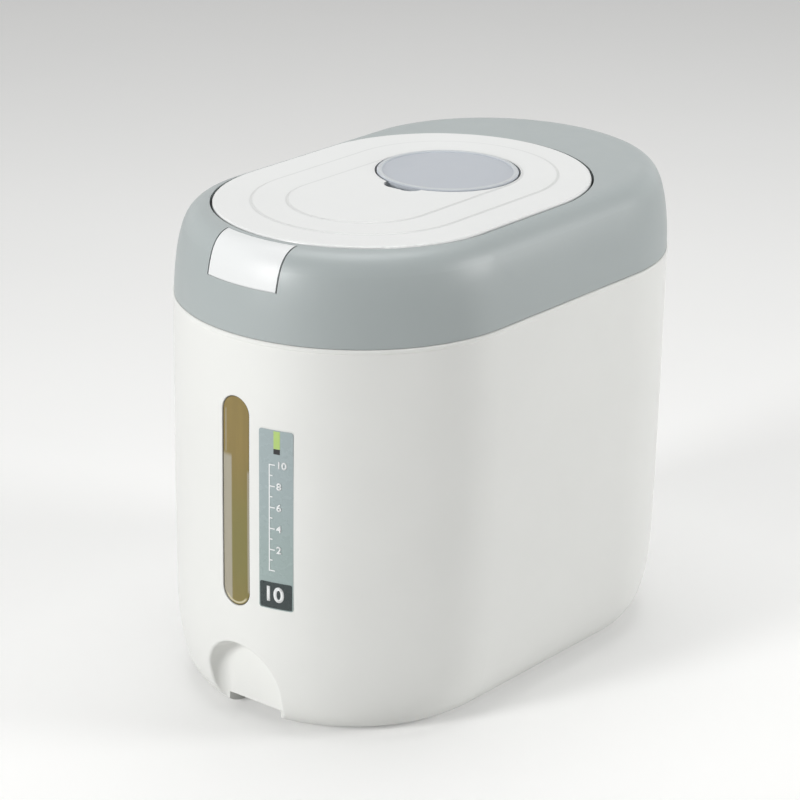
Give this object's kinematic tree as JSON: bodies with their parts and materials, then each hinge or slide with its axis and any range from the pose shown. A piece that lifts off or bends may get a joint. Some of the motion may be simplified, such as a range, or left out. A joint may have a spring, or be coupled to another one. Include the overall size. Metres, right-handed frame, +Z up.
{
  "type": "rice keeper",
  "caption": "Free-standing rice keeper: racetrack tub with sight window and finger recess, push-button flip lid, measuring cup stowed in the lid.",
  "frame": {"origin": "middle of the footprint, on the surface it stands on", "axes": "+X across the width, -Y out of the front with the button, window and finger recess, +Z up"},
  "size_m": [0.2112, 0.3432, 0.2949],
  "materials": {
    "white_shell": "smooth moulded, warm white",
    "white_lid": "smooth moulded, white",
    "white_button": "smooth moulded, bright white",
    "white_inner": "satin moulded, white",
    "grey_shell": "satin moulded, cool grey",
    "amber_clear": "clear amber plastic",
    "cup_clear": "translucent grey, smooth",
    "label_film": "printed film",
    "soft_seal": "soft silicone, translucent white",
    "steel": "bright steel"
  },
  "bodies": {
    "bin": {"tub": "white_shell", "window_pane": "amber_clear", "window_gasket": "soft_seal", "window_frame": "white_shell", "label": "label_film", "mouth_frame": "white_inner", "rim_gasket": "soft_seal", "collar": "grey_shell", "collar_screws": "steel", "hinge_pin": "steel", "hinge_springs": "steel", "button_pin": "steel", "button_spring": "steel"},
    "lid": {"lid_top": "white_lid", "lid_inner": "white_inner", "lid_seal": "soft_seal", "lid_screws": "steel", "hinge_bracket": "white_inner", "hinge_screws": "steel"},
    "button": {"latch_button": "white_button"},
    "cup": {"measuring_cup": "cup_clear"}
  },
  "joints": [
    {"name": "lid_hinge", "type": "hinge", "parent": "bin", "child": "lid", "pos_m": [0, 0.12, 0.283], "axis": [-1, 0, 0], "range_deg": [0, 85]},
    {"name": "button_rock", "type": "hinge", "parent": "bin", "child": "button", "pos_m": [0, -0.153, 0.278], "axis": [1, 0, 0], "range_deg": [0, 7], "stiffness_Nm_per_rad": 0.4, "springref_deg": -5.73, "deforming": ["button_spring"]},
    {"name": "cup_lift", "type": "slide", "parent": "lid", "child": "cup", "axis": [0, 0, 1], "range_m": [0, 0.06]}
  ]
}
